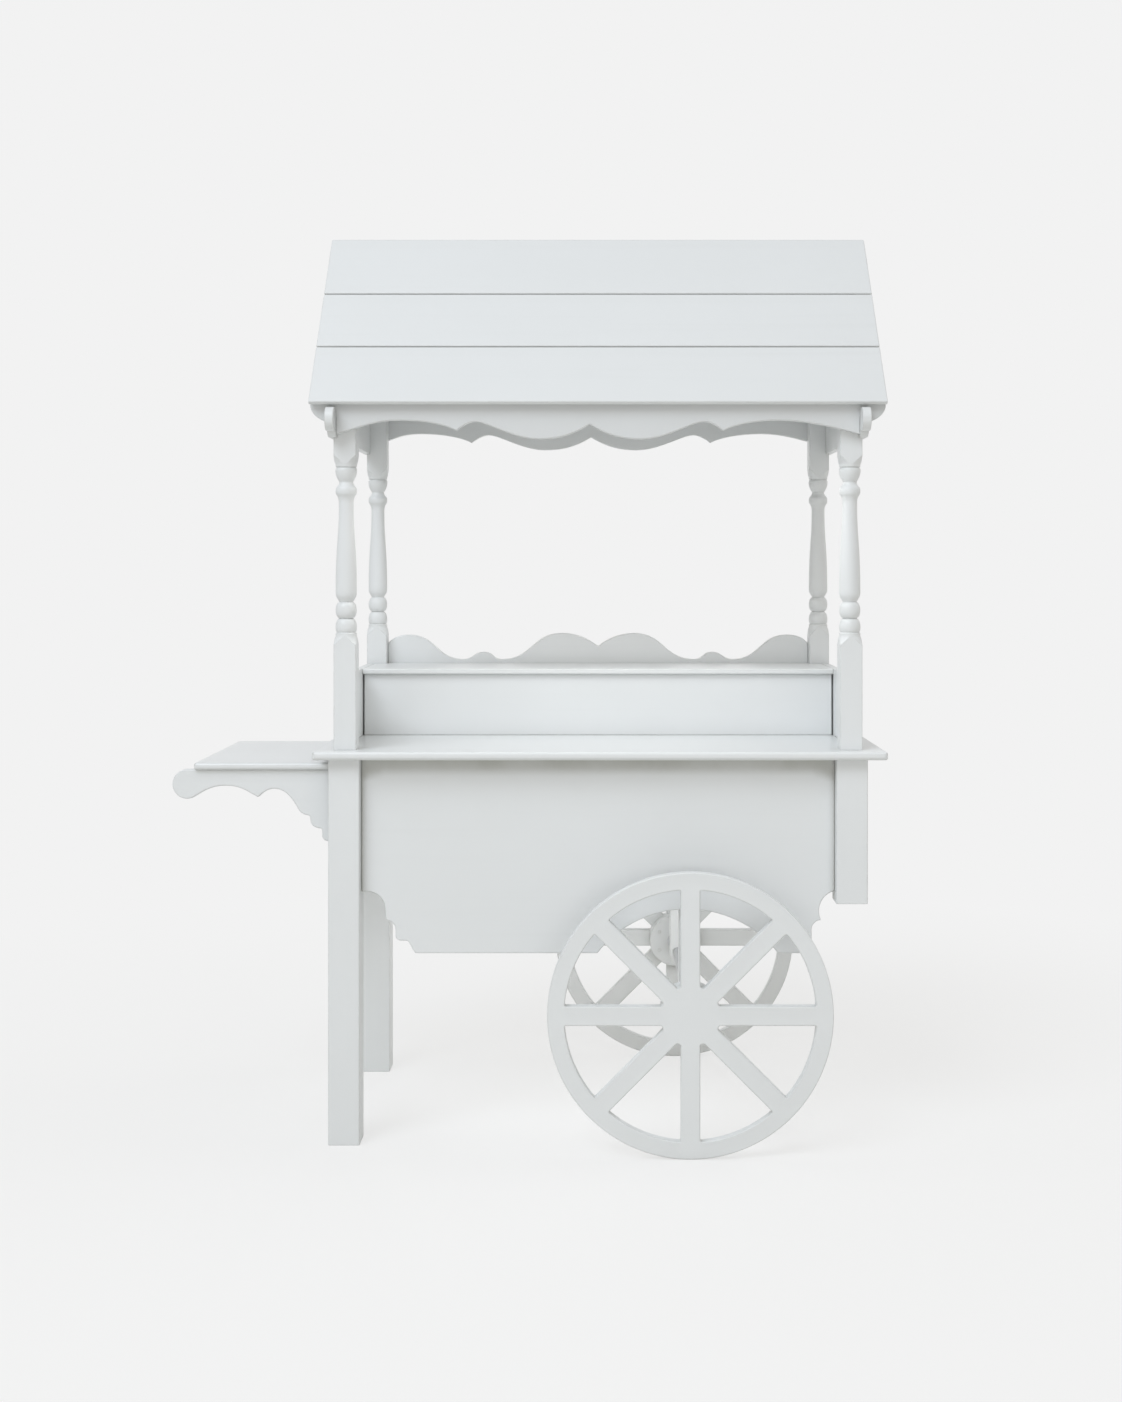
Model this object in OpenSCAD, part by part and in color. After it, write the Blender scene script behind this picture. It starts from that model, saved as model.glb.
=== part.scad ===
// Candy cart: a painted wooden serving cart with a gabled roof on four turned posts,
// a raised tier, a side shelf on two bracket handles and two spoked wheels on one axle.
// x runs along the cart to the wheel end, y from the front to the back, z up from the ground.

/* [Body] */
// Length over the legs
body_len = 1130; // [1060:5:1250]
// Depth over the legs
body_depth = 596; // [540:2:680]
// Width of a square leg
leg_w = 66; // [56:1:76]
// Radius of a leg's long edges
leg_edge_r = 3; // [1:0.5:6]
// Height of the short legs' lower ends above the ground
short_leg_z = 505; // [495:1:525]
// Thickness of the body panels
panel_t = 18; // [14:1:22]
// Distance of the long panels behind the leg faces
panel_recess = 27; // [12:1:34]
// Distance of the end panels inside the leg faces
end_recess = 10; // [4:1:20]
// Height of the long panels' lower edges above the ground
skirt_z = 396; // [380:1:405]
// Height of the floor board's underside above the ground
floor_z = 530; // [528:1:600]
// Thickness of the floor board
floor_t = 18; // [12:1:25]

/* [Panel corners] */
// Height of the scalloped corners above the lower edge
scallop_h = 130; // [126:1:134]
// Radius of the large cove beside the tall legs
cove_r = 37; // [30:1:42]
// Flat between a tall leg and its cove
cove_flat = 13; // [5:1:20]
// Radius of the cove beside the short legs
side_cove_r = 44; // [38:1:48]
// Radius of the middle coves
step_cove_r = 20; // [14:1:24]
// Radius of the small rounds at the lower step
step_r = 11; // [8:1:13]

/* [Wheel arch] */
// Radius of the arch cut in both long panels
arch_r = 242; // [215:1:248]
// Height of the arch's centre above the ground
arch_z = 246.6; // [235:0.2:252]

/* [Counter] */
// Height of the counter's top above the ground
counter_z = 826; // [800:1:900]
// Thickness of the counter
counter_t = 18; // [15:1:30]
// Overhang of the counter past the legs at the shelf end
counter_left_out = 31; // [20:1:60]
// Overhang of the counter past the legs at the wheel end
counter_right_out = 39; // [20:1:60]
// Overhang of the counter past the legs at front and back
counter_front_out = 25; // [12:1:40]
// Radius of the counter's long edges
counter_edge_r = 7; // [3:0.5:7]
// Radius of the counter's corners, seen from above
counter_corner_r = 9; // [8:1:25]

/* [Posts] */
// Width of a square post
post_w = 47; // [44:1:54]
// Distance of the posts inside the leg faces at each end
post_end_in = 10; // [6:1:20]
// Distance of the posts inside the leg faces at front and back
post_front_in = 10; // [6:1:20]
// Height of the square foot of a post
post_foot_h = 217.5; // [205:0.5:240]
// Height of a post's turned stretch
post_turned_h = 404; // [385:1:412]
// Largest radius of the beads and the vase
bead_r = 22.3; // [20:0.1:22.5]
// Radius of the necks between the beads
neck_r = 14.5; // [11:0.1:17]
// Radius of the narrow rings beside the square ends
ring_r = 22.2; // [19:0.1:22.8]

/* [Tier] */
// Height of the tier's top above the counter
tier_h = 152; // [110:1:175]
// Thickness of the tier's top board
tier_top_t = 13; // [9:1:20]
// Thickness of the tier's front board
tier_front_t = 15; // [9:1:20]
// Overhang of the tier's top board past its front board
tier_nose = 10; // [2:1:15]
// Depth from the tier's front board to the rear faces of the posts
tier_depth = 251; // [180:1:300]
// Gap between the tier's front board and the side boards
tier_gap = 3; // [1:0.5:5]
// Thickness of the side boards between the posts
side_board_t = 18; // [12:1:22]
// Thickness of the back board between the rear posts
back_board_t = 18; // [12:1:25]
// Height of the back board's humps above the tier's top
hump_h = 72; // [55:1:90]
// Height of the back board's low dips above the tier's top
dip_h = 8.5; // [4:0.5:20]

/* [Roof] */
// Height of the eaves above the counter's top
eave_up = 728; // [722:1:760]
// Rise from the eaves to the ridge
roof_rise = 397.5; // [340:0.5:430]
// Overhang of the eaves past the leg faces at front and back
eave_out = 30; // [14:1:34]
// Overhang of the roof boards past the gables at each end
roof_end_out = 37; // [30:1:70]
// Thickness of the roof boards
roof_t = 10; // [8:0.5:13]
// Width of the two lower boards on each slope
roof_board_w = 164; // [140:1:175]
// Gap between neighbouring roof boards
roof_gap = 3; // [1:0.5:5]
// Width of the battens under the gaps
batten_w = 34; // [20:1:50]
// Thickness of the battens
batten_t = 15; // [10:1:20]
// Width of the ridge beam
ridge_w = 30; // [20:1:40]
// Depth of the ridge beam below the roof boards
ridge_d = 55; // [40:1:80]
// Clearance between the roof boards and the pieces under them
roof_seat = 0.1; // [0.05:0.05:0.3]

/* [Gables and valances] */
// Thickness of the gable boards
gable_t = 18; // [14:1:22]
// Depth to which the gables are let into the posts
gable_let_in = 8; // [4:1:12]
// Height of the gables' lower edges below the eaves
gable_drop = 72; // [66:1:80]
// Radius of the gables' round noses
nose_r = 25; // [20:1:28]
// Distance of the nose centres outside the leg faces
nose_out = 27; // [24:1:36]
// Height of the nose centres below the eaves
nose_drop = 36; // [34:1:40]
// Radius of the rounds behind the noses
lobe_r = 22; // [16:1:26]
// Thickness of the valances
valance_t = 18; // [12:1:18]
// Height of the front valance's lowest points below the eaves
valance_drop = 76; // [70:1:90]
// How much higher the rear valance's scallops sit
rear_valance_up = 16; // [0:1:20]
// How much wider the rear valance's scallops are
rear_valance_spread = 1.04; // [1:0.01:1.06]
// Sideways shift of the valance scallops
scallop_shift = -17; // [-20:1:20]
// Clearance in the halving joints between gables and valances
halving_clear = 0.2; // [0.1:0.1:0.6]

/* [Side shelf] */
// Length of the shelf beyond the legs
shelf_out = 297; // [260:1:340]
// Height of the shelf's top above the ground
shelf_z = 793; // [780:1:800]
// Thickness of the shelf
shelf_t = 15; // [12:1:20]
// Radius of the shelf's edges
shelf_edge_r = 6; // [2:0.5:6]
// Distance of the brackets inside the shelf's front and rear edges
bracket_in = 10; // [4:1:30]
// Thickness of the brackets
bracket_t = 18; // [14:1:25]
// Depth of the brackets at the legs
bracket_h = 154; // [140:1:165]
// Radius of the round handles
handle_r = 31.5; // [27:0.5:35]
// Distance from the shelf's outer end to the handle centres
handle_out = 16; // [8:1:24]

/* [Wheels] */
// Radius of the wheels
wheel_r = 293; // [286:1:296]
// Thickness of the wheels
wheel_t = 22; // [16:1:28]
// Width of the rim
rim_w = 35; // [28:1:45]
// Width of a spoke
spoke_w = 40; // [26:1:44]
// Number of spokes
spokes = 8; // [6, 8]
// Radius of the hub between the spokes
hub_r = 62; // [56:1:70]
// Distance from the middle of the body to the axle
wheel_x = 189; // [180:1:195]
// Distance from the leg faces to the wheels' inner faces
wheel_gap = 66; // [60:1:90]
// Radius of the hub blocks behind the wheels
hub_block_r = 62; // [50:1:70]
// Thickness of the hub blocks
hub_block_t = 34; // [28:1:40]

/* [Axle] */
// Radius of the axle
axle_r = 10; // [8:0.5:12]
// Running clearance between axle and hub block
axle_clear = 0.08; // [0.04:0.01:0.1]
// Clearance at the fixed pieces on the axle
seat_clear = 0.1; // [0.05:0.05:0.3]
// End play between a wheel and its washers
end_play = 0.3; // [0.3:0.1:0.5]
// Wall of the sleeves between hangers and wheels
sleeve_wall = 6; // [3:0.5:9]
// Radius of the washers
washer_r = 19; // [17:0.5:20]
// Thickness of the washers
washer_t = 3; // [2:0.5:3.5]
// Height of the lock nuts
nut_h = 9; // [7:0.5:10]
// Radius of the pocket that the nut turns in
pocket_r = 22; // [21:0.5:26]
// Depth of that pocket
pocket_d = 16; // [15:0.5:18]
// Width of the axle hangers along the cart
hanger_w = 34; // [30:1:50]
// Depth of the axle hangers from front to back
hanger_d = 45; // [35:1:60]
// Wood below the axle in a hanger
hanger_below = 30; // [20:1:45]

/* [Hidden] */

paint = [0.9, 0.92, 0.93];
inner_paint = [0.82, 0.84, 0.84];
steel = [0.62, 0.63, 0.65];
round_fn = 96;

leg_out_x = body_len / 2;
leg_in_x = leg_out_x - leg_w;
leg_out_y = body_depth / 2;
leg_in_y = leg_out_y - leg_w;
leg_top = counter_z - counter_t;
panel_out_y = leg_out_y - panel_recess;
panel_in_y = panel_out_y - panel_t;
end_out_x = leg_out_x - end_recess;
end_in_x = end_out_x - panel_t;
end_z = short_leg_z + 10;

post_out_x = leg_out_x - post_end_in;
post_in_x = post_out_x - post_w;
post_out_y = leg_out_y - post_front_in;
post_in_y = post_out_y - post_w;

side_in_x = post_out_x - side_board_t;
tier_z = counter_z + tier_h;
tier_y = post_out_y - tier_depth;
back_in_y = post_out_y - back_board_t;

eave_z = counter_z + eave_up;
eave_y = leg_out_y + eave_out;
ridge_z = eave_z + roof_rise;
slope = atan(roof_rise / eave_y);
slope_len = sqrt(roof_rise * roof_rise + eave_y * eave_y);
post_top = under_roof(post_out_y) - 1;

gable_in_x = post_out_x - gable_let_in;
gable_out_x = gable_in_x + gable_t;
gable_z = eave_z - gable_drop;
roof_end_x = gable_out_x + roof_end_out;
nose_y = leg_out_y + nose_out;
nose_z = eave_z - nose_drop;
valance_out_y = post_out_y + valance_t;
halving_z = eave_z - 30;

shelf_end_x = leg_out_x + shelf_out;
bracket_out_y = leg_in_y - bracket_in;
handle_x = shelf_end_x + handle_out;
handle_z = shelf_z - shelf_t - handle_r;

axle_z = wheel_r;
wheel_in_y = leg_out_y + wheel_gap;
wheel_out_y = wheel_in_y + wheel_t;
hub_in_y = wheel_in_y - hub_block_t;
pocket_floor_y = wheel_in_y - pocket_d;
axle_end_y = wheel_in_y - 2;

// The origin is under the middle of the outer box.
reach_left = handle_x + handle_r;
reach_right = max(roof_end_x, leg_out_x + counter_right_out);
origin_x = (reach_left - reach_right) / 2;

// Height of what carries the roof boards at a distance y from the middle
function under_roof(y) = ridge_z - (roof_t + roof_seat) / cos(slope) - abs(y) * tan(slope);

// A point on the front slope, a distance up from the eave and a depth into the boards
function slope_point(up, depth) = [
    -eave_y + up * cos(slope) + depth * sin(slope),
    eave_z + up * sin(slope) - depth * cos(slope)
];

// Points of an arc about a centre
function arc(c, r, from, to, n = 8) =
    [for (i = [0 : n]) let (a = from + (to - from) * i / n) c + r * [cos(a), sin(a)]];

// Points of a cubic curve, without its first point
function curve(a, b, c, d, n = 8) =
    [for (i = [1 : n]) let (t = i / n, u = 1 - t)
        u * u * u * a + 3 * u * u * t * b + 3 * u * t * t * c + t * t * t * d];

// A curve that is level at both ends
function sweep(a, d, ease = 0.42, n = 8) =
    curve(a, a + [(d.x - a.x) * ease, 0], d - [(d.x - a.x) * ease, 0], d, n);

function mirrored(points) = [for (p = points) [-p.x, p.y]];
function reversed(points) = [for (i = [len(points) - 1 : -1 : 0]) points[i]];

// Points of a rectangle with round corners
function round_rect(low, high, r, n = 5) = concat(
    arc([high.x - r, high.y - r], r, 0, 90, n),
    arc([low.x + r, high.y - r], r, 90, 180, n),
    arc([low.x + r, low.y + r], r, 180, 270, n),
    arc([high.x - r, low.y + r], r, 270, 360, n)
);

// A board whose outline is drawn in x and z, between two distances from front to back
module board_xz(y0, y1) {
    translate([0, y1, 0]) rotate([90, 0, 0]) linear_extrude(y1 - y0) children();
}

// A board whose outline is drawn in y and z, between two distances along the cart
module board_yz(x0, x1) {
    translate([x0, 0, 0]) rotate([90, 0, 90]) linear_extrude(x1 - x0) children();
}

module block(low, high) {
    translate(low) cube(high - low);
}

// A level slab with rounded edges and corners
module slab(low, high, edge_r, corner_r) {
    intersection() {
        translate([0, 0, low.z]) linear_extrude(high.z - low.z)
            polygon(round_rect([low.x, low.y], [high.x, high.y], corner_r));
        board_xz(low.y, high.y) polygon(round_rect([low.x, low.z], [high.x, high.z], edge_r));
        board_yz(low.x, high.x) polygon(round_rect([low.y, low.z], [high.y, high.z], edge_r));
    }
}

module at_rear() {
    mirror([0, 1, 0]) children();
}

module at_left() {
    mirror([1, 0, 0]) children();
}

// The whole cart is drawn about the middle of its body and set over its origin here.
module placed() {
    translate([origin_x, 0, 0]) children();
}

// A front leg at the wheel end; the others are its mirror images.
module leg(foot_z) {
    color(paint) translate([0, 0, foot_z]) linear_extrude(leg_top - foot_z)
        polygon(round_rect([leg_in_x, -leg_out_y], [leg_out_x, -leg_in_y], leg_edge_r, 4));
}

// The stepped corner of a long panel beside a tall leg, from the leg down to the lower edge
function tall_leg_corner() = let (
    x = -leg_in_x + cove_flat + cove_r,
    top = skirt_z + scallop_h,
    low_z = skirt_z + 2.4 * step_r,
    mid_z = low_z + 0.18 * scallop_h,
    step_x = x + 1.1 * step_cove_r
) concat(
    [[-leg_in_x, top]],
    arc([x - cove_r, top - cove_r], cove_r, 90, 0),
    arc([step_x - step_cove_r, mid_z], step_cove_r, 90, 0, 6),
    arc([step_x + step_r, low_z + step_r], step_r, 180, 270, 5),
    [[step_x + 2 * step_r, low_z]],
    curve([step_x + 2 * step_r, low_z], [step_x + 2.8 * step_r, low_z],
        [step_x + 2.9 * step_r, skirt_z + 1.1 * step_r], [step_x + 3.8 * step_r, skirt_z], 6)
);

// The corner beside a short leg, from the lower edge up to the leg
function short_leg_corner() = let (
    centre = [leg_in_x + side_cove_r / 4, skirt_z + 0.685 * scallop_h],
    cusp_angle = 206,
    cusp = centre + side_cove_r * [cos(cusp_angle), sin(cusp_angle)],
    x = cusp.x - step_cove_r,
    low_z = skirt_z + 2.4 * step_r
) concat(
    arc([x - 2 * step_r, skirt_z + step_r], step_r, 270, 360, 5),
    arc([x, low_z - step_r], step_r, 180, 90, 5),
    arc([cusp.x, cusp.y - step_cove_r], step_cove_r, 180, 90, 6),
    arc(centre, side_cove_r, cusp_angle, acos(-1 / 4), 10)
);

module long_panel() {
    color(paint) board_xz(-panel_out_y, -panel_in_y) difference() {
        polygon(concat(
            [[leg_in_x, leg_top], [-leg_in_x, leg_top]],
            tall_leg_corner(),
            short_leg_corner()
        ));
        translate([wheel_x, arch_z]) circle(arch_r, $fn = round_fn);
    }
}

module end_panel() {
    color(paint) block([end_in_x, -leg_in_y, end_z], [end_out_x, leg_in_y, leg_top]);
}

// The floor fits between the panels and is notched round the legs.
module floor_board() {
    color(inner_paint) difference() {
        block([-end_in_x, -panel_in_y, floor_z], [end_in_x, panel_in_y, floor_z + floor_t]);
        for (sx = [-1, 1], sy = [-1, 1])
            translate([sx * (leg_in_x + leg_w / 2), sy * (leg_in_y + leg_w / 2), floor_z])
                linear_extrude(3 * floor_t, center = true) square(leg_w, center = true);
    }
}

module counter_top() {
    color(paint) slab(
        [-leg_out_x - counter_left_out, -leg_out_y - counter_front_out, leg_top],
        [leg_out_x + counter_right_out, leg_out_y + counter_front_out, counter_z],
        min(counter_edge_r, counter_t / 2 - 1), counter_corner_r
    );
}

// A point of a post's turned stretch, at a height in hundredths of the stretch
function turned(r, h) = [r, post_foot_h + post_turned_h * h / 100];

// A bead between two heights and two radii that swells to the largest radius
function bead(h0, h1, r0, r1) = let (swell = (8 * bead_r - r0 - r1) / 6) curve(
    turned(r0, h0), turned(swell, 0.9 * h0 + 0.1 * h1), turned(swell, 0.1 * h0 + 0.9 * h1), turned(r1, h1)
);

// The outline that a post is turned to: it reaches past the corners where the post stays square.
function post_outline() = let (
    corner = post_w * 0.75,
    high_shoulder = post_w * 0.6,
    low_shoulder = post_w * 0.54,
    groove_r = ring_r * 0.9,
    shaft_r = neck_r + 1
) concat(
    [[0, 0], [corner, 0], turned(corner, 0)],
    curve(turned(corner, 0), turned(high_shoulder, 1.7), turned(low_shoulder, 3.5), turned(ring_r, 5.3), 6),
    [turned(ring_r, 6.6), turned(groove_r, 7.3)],
    bead(7.3, 14.5, groove_r, neck_r),
    bead(14.5, 23.1, neck_r, neck_r),
    curve(turned(neck_r, 23.1), turned(neck_r + 4, 25.1), turned(bead_r, 25.6), turned(bead_r, 28.3), 6),
    curve(turned(bead_r, 28.3), turned(bead_r, 53), turned(shaft_r, 56), turned(shaft_r, 73.4), 10),
    [turned(shaft_r, 75)],
    curve(
        turned(shaft_r, 75), turned(shaft_r, 77.2),
        turned(bead_r * 0.85, 78.6), turned(bead_r * 0.96, 79.3), 5
    ),
    [turned(bead_r, 80.4), turned(bead_r, 81.4)],
    curve(turned(bead_r, 81.4), turned(bead_r, 83.4), turned(neck_r, 83.4), turned(neck_r, 85.8), 7),
    curve(
        turned(neck_r, 85.8), turned(bead_r * 0.93, 87.8),
        turned(bead_r * 1.19, 92.5), turned(groove_r, 93.2)
    ),
    [turned(ring_r, 93.7), turned(ring_r, 94.7)],
    curve(
        turned(ring_r, 94.7), turned(low_shoulder, 96.5),
        turned(high_shoulder, 98.3), turned(corner, 100), 6
    ),
    [[corner, post_top - counter_z], [0, post_top - counter_z]]
);

// A front post at the wheel end, square where it is joined, turned between and rebated for the gable
module post() {
    color(paint) difference() {
        translate([post_in_x + post_w / 2, -post_in_y - post_w / 2, counter_z]) intersection() {
            linear_extrude(post_top - counter_z)
                polygon(round_rect([-post_w, -post_w] / 2, [post_w, post_w] / 2, 1.5, 3));
            rotate_extrude($fn = round_fn) polygon(post_outline());
        }
        block([gable_in_x, -leg_out_y, gable_z], [leg_out_x, 0, ridge_z]);
    }
}

module side_board() {
    color(paint) block([side_in_x, -post_in_y, counter_z], [post_out_x, post_in_y, tier_z]);
}

module tier_front() {
    x = side_in_x - tier_gap;
    color(paint) block([-x, tier_y, counter_z], [x, tier_y + tier_front_t, tier_z - tier_top_t]);
}

// The tier's top runs back between the rear posts to the back board.
module tier_top() {
    low = tier_z - tier_top_t;
    color(paint) {
        intersection() {
            block([-side_in_x, tier_y - tier_nose, low], [side_in_x, post_in_y, tier_z]);
            board_yz(-side_in_x, side_in_x)
                polygon(round_rect([tier_y - tier_nose, low], [leg_out_y, tier_z], 4));
        }
        block([-post_in_x, post_in_y, low], [post_in_x, back_in_y, tier_z]);
    }
}

// One half of the back board's top edge, from the middle to a rear post, as heights above the tier.
// It is drawn for a half length of 508 and a hump height of 72.
function back_half() = let (dip = dip_h * 72 / hump_h) [for (p = concat(
    [[0, 40]],
    curve([0, 40], [22, 58], [52, 72], [88, 72]),
    sweep([88, 72], [232, dip], 0.5, 10),
    sweep([232, dip], [276, dip + 18], 0.55, 6),
    sweep([276, dip + 18], [327, dip], 0.5, 6),
    sweep([327, dip], [456, 68], 0.5, 10),
    curve([456, 68], [482, 68], [496, 62], [508, 47], 6)
)) [p.x * post_in_x / 508, p.y * hump_h / 72]];

module back_board() {
    foot = counter_z - tier_z;
    color(paint) translate([0, 0, tier_z]) board_xz(back_in_y, post_out_y)
        polygon(concat(
            [[post_in_x, foot], [-post_in_x, foot]],
            reversed(mirrored(back_half())),
            back_half()
        ));
}

// The scallops of a valance from their middle to one end, as heights above the lowest point.
// They are drawn for posts that reach to 555 and a drop of 76.
function valance_half(end_x, spread) = let (
    unit = spread * post_out_x / 555,
    end = end_x / unit
) [for (p = concat(
    [[0, 31]],
    curve([0, 31], [40, 6], [70, 0], [108, 0]),
    curve([108, 0], [160, 0], [214, 36.5], [239, 36.5], 10),
    curve([239, 36.5], [252, 36.5], [266, 28], [279, 17.4], 6),
    curve([279, 17.4], [300, 30], [345, 39.5], [398, 39.5]),
    curve([398, 39.5], [450, 39.5], [end - 45, 24], [end, 10])
)) [p.x * unit, p.y * valance_drop / 76]];

// The curved end of a valance outside a gable, down from the eave
function valance_tip() = concat(
    curve(
        [roof_end_x, eave_z - 0.05 * valance_drop],
        [roof_end_x - 0.05 * roof_end_out, eave_z - 0.29 * valance_drop],
        [roof_end_x - 0.4 * roof_end_out, eave_z - 0.46 * valance_drop],
        [gable_out_x, eave_z - 0.54 * valance_drop]
    ),
    [[gable_out_x, eave_z - 0.87 * valance_drop]]
);

// Everything from the seats of the roof boards upwards
module above_roof_seats() {
    board_yz(-2 * roof_end_x, 2 * roof_end_x) polygon([
        [0, under_roof(0)],
        [-2 * eave_y, under_roof(2 * eave_y)],
        [-2 * eave_y, 2 * ridge_z],
        [2 * eave_y, 2 * ridge_z],
        [2 * eave_y, under_roof(2 * eave_y)]
    ]);
}

// A valance on the front faces of the posts, slotted from below over the gables
module valance(lift, spread) {
    low = eave_z - valance_drop;
    end_x = post_out_x - 10;
    right = valance_half(end_x - scallop_shift, spread);
    left = valance_half(end_x + scallop_shift, spread);
    edge = concat(reversed(mirrored(left)), right);
    lower = [for (p = edge) [p.x + scallop_shift, p.y + low]];
    slot = [gable_t + 2 * halving_clear, gable_drop + lift];
    color(paint) difference() {
        translate([0, 0, lift]) board_xz(-valance_out_y, -post_out_y) polygon(concat(
            mirrored(valance_tip()),
            lower,
            reversed(valance_tip()),
            [[roof_end_x, eave_z + valance_t], [-roof_end_x, eave_z + valance_t]]
        ));
        above_roof_seats();
        for (side = [-1, 1])
            translate([side * (gable_in_x + gable_t / 2), 0, halving_z + lift + halving_clear - slot.y / 2])
                cube([slot.x, 4 * eave_y, slot.y], center = true);
    }
}

// Half of a gable's outline: the slope, the round nose and the round behind it
module gable_half(lift) {
    slot_low = halving_z + lift;
    difference() {
        union() {
            polygon([
                [0, gable_z],
                [0, under_roof(0)],
                [-valance_out_y, under_roof(valance_out_y)],
                [-valance_out_y, nose_z + nose_r],
                [-nose_y, nose_z + nose_r],
                [-nose_y, nose_z],
                [-leg_out_y + lobe_r / 4, gable_z + lobe_r],
                [-leg_out_y + lobe_r / 4, gable_z]
            ]);
            translate([-nose_y, nose_z]) circle(nose_r, $fn = round_fn);
            translate([-leg_out_y + lobe_r / 4, gable_z + lobe_r]) circle(lobe_r, $fn = round_fn);
        }
        translate([-valance_out_y - halving_clear, slot_low])
            square([valance_t + halving_clear, ridge_z]);
    }
}

// A gable board let into the outer faces of the posts, slotted from above over the valances
module gable() {
    color(paint) board_yz(gable_in_x, gable_out_x) union() {
        gable_half(0);
        mirror([1, 0]) gable_half(rear_valance_up);
    }
}

// One board of the front slope, between two distances up from the eave
module roof_board(up0, up1) {
    color(paint) board_yz(-roof_end_x, roof_end_x) polygon([
        slope_point(up0, 0), slope_point(up1, 0),
        slope_point(up1, roof_t), slope_point(up0, roof_t)
    ]);
}

// The top board is mitred against its neighbour at the ridge.
module roof_top_board() {
    up0 = 2 * (roof_board_w + roof_gap);
    color(paint) board_yz(-roof_end_x, roof_end_x) polygon([
        slope_point(up0, 0), [0, ridge_z],
        [0, ridge_z - roof_t / cos(slope)], slope_point(up0, roof_t)
    ]);
}

module roof_battens() {
    color(inner_paint) for (side = [0, 1], i = [1, 2]) {
        mid = i * (roof_board_w + roof_gap) - roof_gap / 2;
        low = mid - batten_w / 2;
        high = mid + batten_w / 2;
        seat = roof_t + roof_seat;
        mirror([0, side, 0]) board_yz(-gable_in_x, gable_in_x) polygon([
            slope_point(low, seat), slope_point(high, seat),
            slope_point(high, seat + batten_t), slope_point(low, seat + batten_t)
        ]);
    }
}

module ridge_beam() {
    y = ridge_w / 2;
    foot = under_roof(0) - ridge_d;
    color(inner_paint) board_yz(-gable_in_x, gable_in_x)
        polygon([[0, under_roof(0)], [-y, under_roof(y)], [-y, foot], [y, foot], [y, under_roof(y)]]);
}

// The shelf lies between the tall legs and butts against the end panel.
module side_shelf() {
    low = [-shelf_end_x, -leg_in_y, shelf_z - shelf_t];
    color(paint) intersection() {
        slab(low, [0, leg_in_y, shelf_z], min(shelf_edge_r, shelf_t / 2 - 1), 8);
        block(low - [1, 1, 1], [-end_out_x, leg_in_y + 1, shelf_z + 1]);
    }
}

// A point of a bracket, drawn for a handle 313 out from the leg and a depth of 154 below the shelf
function bracket_at(out, down) = [
    -leg_out_x - out * (shelf_out + handle_out) / 313,
    shelf_z - shelf_t - down * bracket_h / 154
];

// The lower edge of a bracket, from its round handle to its foot at the leg
function bracket_edge(hand_low) = concat(
    [hand_low],
    curve(hand_low, hand_low + [17, 10], bracket_at(263, 35), bracket_at(231, 35)),
    curve(bracket_at(231, 35), bracket_at(199, 35), bracket_at(187, 46), bracket_at(161, 60)),
    curve(bracket_at(161, 60), bracket_at(149, 47), bracket_at(138, 41.5), bracket_at(126, 41.5), 6),
    curve(bracket_at(126, 41.5), bracket_at(98, 41.5), bracket_at(82, 74), bracket_at(75, 86)),
    curve(bracket_at(75, 86), bracket_at(70, 95), bracket_at(60, 98.5), bracket_at(51, 99), 4),
    curve(bracket_at(51, 109), bracket_at(48, 122), bracket_at(38, 126.5), bracket_at(25, 126.5), 5),
    curve(bracket_at(26, 139), bracket_at(24, 150), bracket_at(18, 154), bracket_at(8, 154), 5)
);

// The front bracket, scalloped below and ending in a round handle
module bracket() {
    top = shelf_z - shelf_t;
    handle = [-handle_x, handle_z];
    color(paint) board_xz(-bracket_out_y, -bracket_out_y + bracket_t) union() {
        polygon(concat(
            [[-end_out_x, top - bracket_h], [-end_out_x, top], [-handle_x, top], handle],
            bracket_edge(handle + handle_r * [cos(-60), sin(-60)])
        ));
        translate(handle) circle(handle_r, $fn = round_fn);
    }
}

// A batten hung from the floor behind a long panel, round at its lower end, bored for the axle
module hanger() {
    y0 = -panel_in_y;
    color(inner_paint) difference() {
        board_xz(y0, y0 + hanger_d) translate([wheel_x, 0]) {
            translate([-hanger_w / 2, axle_z - hanger_below + hanger_w / 2])
                square([hanger_w, floor_z - axle_z + hanger_below - hanger_w / 2]);
            translate([0, axle_z - hanger_below + hanger_w / 2]) circle(hanger_w / 2, $fn = round_fn);
        }
        translate([wheel_x, y0 - 1, axle_z]) rotate([-90, 0, 0])
            cylinder(hanger_d + 2, axle_r + seat_clear, axle_r + seat_clear, $fn = round_fn);
    }
}

module round_bar(y0, y1, r) {
    translate([wheel_x, y0, axle_z]) rotate([-90, 0, 0]) cylinder(y1 - y0, r, r, $fn = round_fn);
}

module ring_bar(y0, y1, r, bore) {
    difference() {
        round_bar(y0, y1, r);
        round_bar(y0 - 1, y1 + 1, bore);
    }
}

module axle() {
    color(steel) round_bar(-axle_end_y, axle_end_y, axle_r);
}

// Sleeves keep the wheels clear of the body.
module axle_sleeves() {
    color(steel) for (side = [0, 1]) mirror([0, side, 0])
        ring_bar(-hub_in_y + end_play + washer_t, -panel_in_y, axle_r + sleeve_wall, axle_r + seat_clear);
}

// An inner and an outer washer run against each hub block.
module axle_washers() {
    color(steel) for (side = [0, 1]) mirror([0, side, 0]) {
        ring_bar(-hub_in_y + end_play, -hub_in_y + end_play + washer_t, washer_r, axle_r + seat_clear);
        ring_bar(-pocket_floor_y - end_play - washer_t, -pocket_floor_y - end_play,
            washer_r, axle_r + seat_clear);
    }
}

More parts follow.
